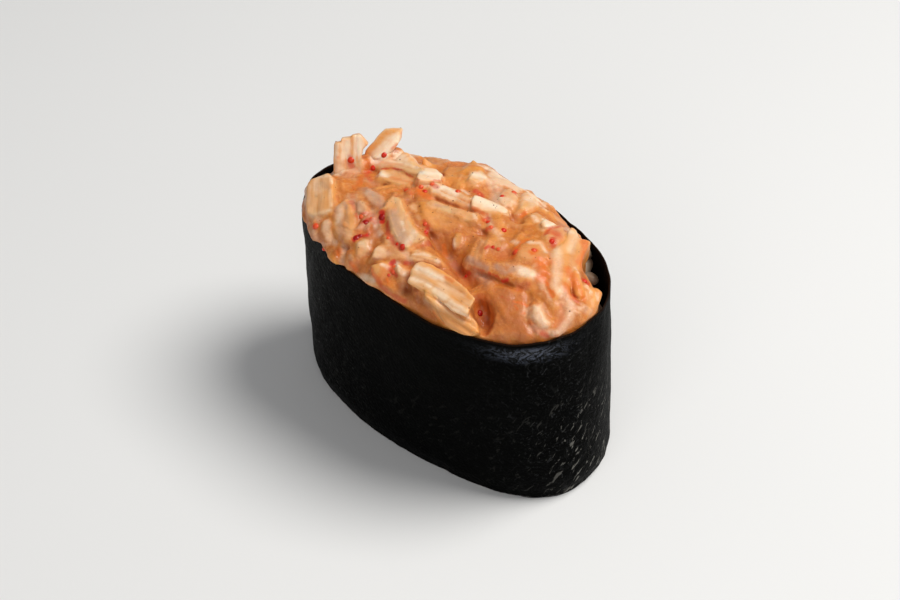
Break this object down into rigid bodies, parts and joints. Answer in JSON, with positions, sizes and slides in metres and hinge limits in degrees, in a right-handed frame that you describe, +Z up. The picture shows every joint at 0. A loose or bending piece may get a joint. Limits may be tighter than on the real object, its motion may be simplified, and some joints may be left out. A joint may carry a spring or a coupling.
{
  "type": "gunkan sushi",
  "caption": "Oval gunkan sushi: a standing band of dark seaweed around pressed rice, heaped with crab-stick salad in an orange dressing with small roe.",
  "frame": {"origin": "on the surface the sushi stands on, below the middle of its bounding box", "axes": "+X along the long side of the oval, +Y from the front long side to the back one with the seaweed's lapped seam, +Z up"},
  "size_m": [0.056, 0.0336, 0.0425],
  "materials": {
    "seaweed": "dry and leathery with a faint sheen",
    "rice": "moist, slightly translucent",
    "salad": "creamy and glossy",
    "crab_stick": "moist, fibrous, slightly translucent",
    "roe": "glossy, translucent"
  },
  "bodies": {
    "root": {"nori": "seaweed", "rice": "rice", "salad": "salad"}
  },
  "joints": []
}
